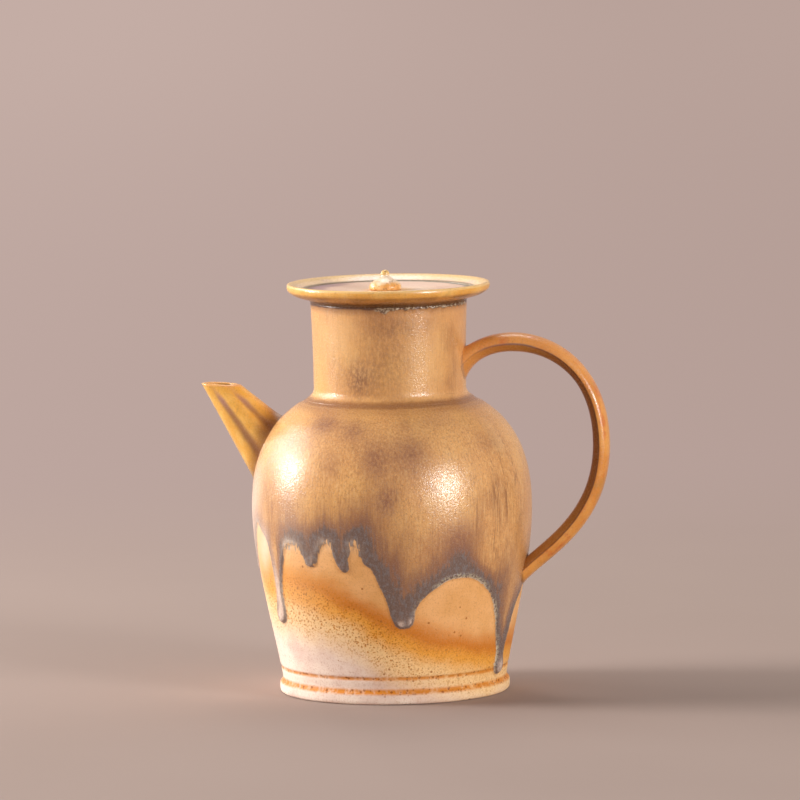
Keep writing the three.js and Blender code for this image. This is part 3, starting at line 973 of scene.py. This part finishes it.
spoutMesh, spoutPlaces = makeSpout(spoutShape)
spoutGlaze = glazed("spout glaze", spoutColour)
spout = finishPiece(spoutMesh, "spout_cone", spoutGlaze, "vessel", ["spout"])
for column, name in enumerate(("hollow", "root", "mouth", "inner", "blob")):
    giveAttribute(spout, name, spoutPlaces[:, column])
print("spout made")

# handle: a pulled strap with a rounded back and a crease along each side

handleShape = {
    "width": 12.8,
    # thickness along the strap, as (millimetres from the neck, thickness)
    "thickness": [(0, 8.4), (28, 8.6), (46, 7.8), (62, 7.2), (90, 7.7), (130, 8), (160, 7.8)],
    "start": (32.1, 141.9),
    "startPull": (41.2, 160.4),
    "reach": 92.55,
    "reachHeight": 108.6,
    "fullness": 49.9,
    "tuck": 34.8,
    "endPull": (65.2, 61.4),
    "end": (55.9, 50.6),
    "flareLength": 9,
    "flare": (0.16, 0.14),      # how much wider it is at the neck and at the belly
    "deeper": 0.1,              # how much thicker at the neck
    "steps": 150,
    "sides": 48,
}


# evenly spaced points along the handle's middle line
def handleRoute(s):
    reach, level = s["reach"], s["reachHeight"]
    fine = np.array(drawn(
        s["start"],
        (160, s["startPull"], (reach, level + s["fullness"]), (reach, level)),
        (160, (reach, level - s["tuck"]), s["endPull"], s["end"]),
    ))
    lengths = np.concatenate([[0], np.cumsum(np.hypot(*np.diff(fine, axis=0).T))])
    even = np.linspace(0, lengths[-1], s["steps"] + 1)
    return np.column_stack([np.interp(even, lengths, fine[:, k]) for k in (0, 1)]), even


# the section: across and through the strap, with a hollowed inner face behind a crease
def handleSection(around, width, thickness):
    c, n = math.cos(around), math.sin(around)
    across = math.copysign(abs(c) ** 0.82, c) * width / 2
    through = math.copysign(abs(n) ** 0.9, n)
    inner = max(0.0, -through - 0.12)
    across *= 1 - 0.42 * inner ** 0.75
    return across, through * thickness / 2 + 0.5 * inner * math.cos(across * 0.5)


def makeHandle(s):
    bm = bmesh.new()
    route, lengths = handleRoute(s)
    ways = np.gradient(route, axis=0)
    ways /= np.linalg.norm(ways, axis=1)[:, None]
    ring = list(bmesh.ops.create_circle(bm, cap_ends=False, radius=1, segments=s["sides"])["verts"])
    angles = [math.atan2(v.co.y, v.co.x) for v in ring]
    edges = list({e for v in ring for e in v.link_edges})
    places = {}

    # each ring stands square to the route, but upright where the strap is luted on
    def settle(verts, i):
        (x, z), (wx, wz) = route[i], ways[i]
        fromStart, fromEnd = lengths[i] / s["flareLength"], (lengths[-1] - lengths[i]) / s["flareLength"]
        upright = math.exp(-fromStart ** 2), math.exp(-fromEnd ** 2)
        tilt = Vector((wx, wz)).normalized()
        for share, target in zip(upright, (Vector((1, 0)), Vector((-1, 0)))):
            tilt = (tilt * (1 - share) + target * share).normalized()
        slant = max(tilt.x * wx + tilt.y * wz, 0.4)
        thickness = float(np.interp(lengths[i], *zip(*s["thickness"])))
        grow = (1 + s["deeper"] * upright[0]) / slant
        wide = 1 + s["flare"][0] * upright[0] + s["flare"][1] * upright[1]
        for vert, around in zip(verts, angles):
            across, through = handleSection(around, s["width"], thickness)
            vert.co = (x - tilt.y * through * grow, across * wide, z + tilt.x * through * grow)
            places[vert] = (through, lengths[i], lengths[-1] - lengths[i])

    settle(ring, 0)
    for i in range(1, s["steps"] + 1):
        made = bmesh.ops.extrude_edge_only(bm, edges=edges)["geom"]
        old = set(ring)
        after = {}
        for vert in (g for g in made if isinstance(g, bmesh.types.BMVert)):
            for e in vert.link_edges:
                other = e.other_vert(vert)
                if other in old:
                    after[other] = vert
        ring = [after[v] for v in ring]
        new = set(ring)
        edges = [g for g in made if isinstance(g, bmesh.types.BMEdge) and new.issuperset(g.verts)]
        settle(ring, i)
    bmesh.ops.holes_fill(bm, edges=bm.edges, sides=0)
    bmesh.ops.recalc_face_normals(bm, faces=bm.faces)
    return bm, np.array([places[v] for v in bm.verts])


def handleColour(tree):
    patches = cloud(tree, 70, 3, 0.55)
    streaks = cloud(tree, 210, stretch=(0.5, 1.4, 0.5))
    start, height = attribute(tree, "start"), axisOf(tree, 2)
    side = wander(attribute(tree, "side"), streaks, 0.5)
    # the crease along the side, the olive inner face behind it with painted shade that darkens the inner half
    # and deepens along its middle, and the grey crease along the top
    shade = times(between(start, 10, 50, 0.45, 1), between(height, 0.05, 0.085, 0.7, 1))
    groove = times(between(maths("ABSOLUTE", maths("ADD", side, 0.3)), 0.45, 0.1), shade, 0.9)
    paintedInnerShade = times(between(side, -0.2, -0.6), between(start, 26, 60), between(start, 140, 90, 0.2, 0.95))
    greyed = between(maths("ABSOLUTE", maths("ADD", side, 0.1)), 0.7, 0.15)
    greyed = times(greyed, between(height, 0.144, 0.153), between(patches, 0.4, 0.58, 0.2, 0.7),
                   between(start, 6, 16))
    return layered(
        rgb(218, 138, 56),
        (patches, 0.38, 0.66, 1, rgb(232, 160, 76)),
        (patches, 0.42, 0.3, 0.5, rgb(184, 132, 60)),
        (height, 0.125, 0.15, 0.5, rgb(230, 154, 84)),
        (streaks, 0.54, 0.7, 0.7, rgb(208, 106, 46)),
        # painted shade: the inner half of the strap darker, deepest along the middle of its inner face
        (side, 0.25, -0.3, 0.6, rgb(176, 96, 32)),
        (times(between(side, -0.45, -0.8), shade), rgb(176, 118, 46)),
        (paintedInnerShade, rgb(126, 58, 4)),
        (groove, rgb(104, 52, 10)),
        (greyed, rgb(140, 112, 104)),
        (start, 16, 6, 0.5, rgb(230, 158, 80)),
        (times(between(start, 3.4, 1.8), 0.5), rgb(160, 138, 118)),
        (attribute(tree, "end"), 4, 2, 0.75, rgb(96, 62, 38)),
        speckle(tree, 0.35),
    )


handleMesh, handlePlaces = makeHandle(handleShape)
handleGlaze = glazed("handle glaze", handleColour, 0.3, peel=0.35)
handle = finishPiece(handleMesh, "handle_strap", handleGlaze, "vessel", ["handle"])
for column, name in enumerate(("side", "start", "end")):
    giveAttribute(handle, name, handlePlaces[:, column])
print("handle made")

# lid: disc, collar and knob

lidShape = {
    "radius": 36.3,
    "bottom": 174.4,
    "thickness": 2.15,
    "dish": 0.7,
    "ringGap": 1.9,        # soft throwing rings
    "ringDepth": 0.07,
    "collar": 30.1,
    "collarWall": 3,
    "collarDrop": 6,
    "knob": 7,
    "knobFoot": 6.3,
    "knobOffset": 1.3,
    "bun": 6,
    "tip": 1.8,
    "tipHeight": 2.8,
    "steps": 60,
    "finer": 4,
    "knobSteps": (48, 2),
}


def lidOutline(s):
    top = s["bottom"] + s["thickness"]
    edge = s["radius"]
    surface = []
    for i in range(1, 64):
        r = edge - 1.6 - i * 0.53
        dish = s["dish"] * float(smooth(edge - r, 4, 20))
        surface.append((r, top - dish + s["ringDepth"] * math.sin(2 * math.pi * r / s["ringGap"])))
    return joined(
        [(0, s["bottom"]), (edge - 1, s["bottom"])],
        bezier([(edge - 0.7, s["bottom"]), (edge, s["bottom"]), (edge, s["bottom"] + 0.7)], 4),
        bezier([(edge, top - 1), (edge, top), (edge - 1.4, top + 0.05)], 6),
        surface,
        [(0, top - s["dish"])],
    )


def lidColour(tree):
    rings = cloud(tree, 26, 2, 0.5, stretch=(1, 1, 8))
    x, y = axisOf(tree, 0), axisOf(tree, 1)
    wavy = wander(fromAxis(tree), cloud(tree, 80), 0.005)
    left = times(between(x, -0.016, -0.026), between(wavy, 0.025, 0.03), 0.75)
    front = times(between(y, -0.012, -0.024), between(x, 0, 0.01), 0.7)
    return layered(
        rgb(240, 194, 132),
        (wavy, 0.006, 0.014, 1, rgb(242, 212, 186)),
        (wavy, 0.014, 0.026, 1, rgb(232, 198, 176)),
        (wavy, 0.0315, 0.034, 1, rgb(140, 134, 118)),
        (left, rgb(136, 104, 122)),
        (front, rgb(226, 150, 100)),
        (rings, 0.5, 0.7, 0.3, rgb(196, 148, 116)),
        (cloud(tree, 1300), 0.56, 0.72, 0.2, glaze["brown"]),
    )


def clayMaterial():
    material, tree, shader = startMaterial("bare clay")
    blush = cloud(tree, 70, 3, 0.5)
    grain = cloud(tree, 2200)
    colour = mix(between(blush, 0.35, 0.65), rgb(226, 194, 166), rgb(206, 160, 124))
    colour = mix(times(specks(tree, 800, 0.4, 0.2), 0.6), colour, rgb(150, 92, 50))
    plug(shader.inputs["Base Color"], colour)
    plug(shader.inputs["Roughness"], between(grain, 0.3, 0.7, 0.7, 0.85))
    plug(shader.inputs["Normal"], bump(grain, 0.0001, 0.6))
    return material


def knobOutline(s):
    knob, tip = s["knob"], s["tip"]
    bottom = s["bottom"] + s["thickness"] - s["dish"]
    shoulder = bottom + s["bun"]
    top = shoulder + s["tipHeight"]
    return [(0, bottom)] + drawn(
        (s["knobFoot"], bottom),
        (12, (knob + 0.5, bottom + 0.4), (knob + 0.2, bottom + 2.3), (knob - 0.8, bottom + 3.2)),
        (12, (knob - 2.2, bottom + 4.4), (tip + 1.3, shoulder - 1.1), (tip + 0.4, shoulder - 0.1)),
        (5, (tip - 0.1, shoulder + 0.1), (tip + 0.1, shoulder + 0.8)),
        (8, (tip + 0.1, shoulder + 2.1), (1, top), (0, top)),
    )


def knobColour(tree):
    patches = cloud(tree, 240)
    ragged = wander(axisOf(tree, 2), patches, 0.005)
    iron = maths("MAXIMUM", specks(tree, 900, 0.42, 0.3), specks(tree, 560, 0.26, 0.2, (0.2, 0, 0)))
    return layered(
        rgb(230, 164, 86),
        (patches, 0.4, 0.62, 1, rgb(246, 202, 140)),
        (ragged, 0.178, 0.1805, 1, rgb(244, 220, 190)),
        (ragged, 0.1822, 0.1832, 1, rgb(226, 184, 112)),
        (times(iron, 0.6), rgb(140, 92, 60)),
    )


def collarOutline(s):
    low = s["bottom"] - s["collarDrop"]
    inner = s["collar"] - s["collarWall"]
    return joined(
        bezier([(inner, low + 1), (inner, low), (inner + 1, low)], 4),
        bezier([(s["collar"] - 1, low), (s["collar"], low), (s["collar"], low + 1)], 4),
        [(s["collar"], s["bottom"]), (inner, s["bottom"])],
    )


lidSteps = (lidShape["steps"], lidShape["finer"])
discMesh = turned(lidOutline(lidShape), *lidSteps)
lidGlaze = glazed("lid glaze", lidColour, 0.5)
lidGlaze.node_tree.nodes["Principled BSDF"].inputs["Coat Weight"].default_value = 0.08      # worn duller
finishPiece(discMesh, "lid_plate", lidGlaze, "lid", ["lid_disc"])
collarMesh = turned(collarOutline(lidShape), *lidSteps, ring=True)
finishPiece(collarMesh, "lid_flange", clayMaterial(), "lid", ["lid_collar"])
knobMesh = turned(knobOutline(lidShape), *lidShape["knobSteps"])
bmesh.ops.translate(knobMesh, vec=(-lidShape["knobOffset"], 0, 0), verts=knobMesh.verts)
knobGlaze = glazed("knob glaze", knobColour, 0.22)
finishPiece(knobMesh, "lid_button", knobGlaze, "lid", ["lid_knob"])
print("lid made")

# floor, background and lights

stage = {
    "radius": 14,
    "floor": rgb(166, 147, 138),
    "nearBackground": rgb(190, 167, 160),
    "farBackground": rgb(196, 173, 165),
    "rightBackground": rgb(166, 143, 135),
    "ambient": (1.0, 0.97, 0.95, 1),
    "ambientStrength": 0.25,
    "lampColour": (1.0, 0.99, 0.98),
    "lampsAimAt": Vector((0, 0, 0.1)),
}


# rays that see the plain background: the camera's, and those in gloss or glass
def backgroundRays(tree):
    rays = tree.nodes.new("ShaderNodeLightPath")
    seen = rays.outputs["Is Camera Ray"]
    for name in ("Is Glossy Ray", "Is Transmission Ray"):
        seen = maths("MAXIMUM", seen, rays.outputs[name])
    return seen


# a wide disc; away from the kettle the camera sees it in the background's even tone
def makeStage(s):
    bm = bmesh.new()
    bmesh.ops.create_circle(bm, cap_ends=True, radius=s["radius"], segments=64)
    mesh = bpy.data.meshes.new("floor")
    bm.to_mesh(mesh)
    bm.free()
    material, tree, shader = startMaterial("studio floor")
    grain = cloud(tree, 5, 3, 0.5)
    plug(shader.inputs["Base Color"], mix(between(grain, 0.3, 0.7, 0, 0.3), s["floor"], rgb(160, 141, 132)))
    plug(shader.inputs["Roughness"], 0.9)
    plug(shader.inputs["Specular IOR Level"], 0.0)
    where = tree.nodes.new("ShaderNodeTexCoord")
    length = tree.nodes.new("ShaderNodeVectorMath")
    length.operation = "LENGTH"
    plug(length.inputs[0], where.outputs["Object"])
    away = length.outputs["Value"]
    # across is counted to the camera's right
    across = maths("ADD", times(axisOf(tree, 0), math.cos(turn)), times(axisOf(tree, 1), math.sin(turn)))
    tone = layered(
        s["nearBackground"],
        (away, 1.0, 5.5, 1, s["farBackground"]),
        # painted shade: the background darkens towards the camera's right, away from the lamps on the left
        (across, -0.4, 0.4, 0.4, s["rightBackground"]),
    )
    even = tree.nodes.new("ShaderNodeEmission")
    plug(even.inputs["Color"], tone)
    share = times(backgroundRays(tree), between(away, 0.24, 0.9))
    mixShaders(share, shader.outputs[0], even.outputs[0], tree.nodes["Material Output"].inputs["Surface"])
    mesh.materials.append(material)
    floor = addObject("floor", mesh)


# azimuth is counted from the camera, positive to its right; a lamp that isn't mirrored only lights
def softLamp(name, azimuth, elevation, distance, size, power, mirrored=True):
    around = turn + math.radians(azimuth)
    rise = math.radians(elevation)
    lamp = bpy.data.lights.new(name, "AREA")
    lamp.shape = "RECTANGLE"
    lamp.size, lamp.size_y = size
    lamp.energy = power
    lamp.color = stage["lampColour"]
    stand = addObject(name, lamp)
    stand.visible_glossy = mirrored
    way = Vector((math.sin(around) * math.cos(rise), -math.cos(around) * math.cos(rise), math.sin(rise)))
    stand.location = stage["lampsAimAt"] + way * distance
    stand.rotation_euler = way.to_track_quat("Z", "Y").to_euler()


def makeWorld():
    world = bpy.data.worlds.new("studio")
    bpy.context.scene.world = world
    world.use_nodes = True
    tree = world.node_tree
    ambient = tree.nodes["Background"]
    plug(ambient.inputs["Color"], stage["ambient"])
    plug(ambient.inputs["Strength"], stage["ambientStrength"])
    wall = tree.nodes.new("ShaderNodeBackground")
    plug(wall.inputs["Color"], stage["farBackground"])
    surface = tree.nodes["World Output"].inputs["Surface"]
    mixShaders(backgroundRays(tree), ambient.outputs[0], wall.outputs[0], surface)


makeStage(stage)
softLamp("key", -96, 13, 1.5, (0.4, 0.4), 14)
softLamp("side", -92, 25, 2.2, (0.8, 0.7), 29, mirrored=False)
softLamp("fill", 46, 12, 1.9, (0.5, 0.5), 24)
softLamp("wash left", -114, 24, 2.6, (1.6, 1.2), 30)
softLamp("rim left", -160, 14, 2.4, (0.35, 1.2), 8, mirrored=False)
softLamp("wash right", 125, 24, 2.6, (1.8, 1.2), 10, mirrored=False)
softLamp("top", 180, 62, 2.2, (0.9, 0.9), 11)
makeWorld()
bpy.context.scene.view_settings.view_transform = "Standard"
print("stage and lights made")
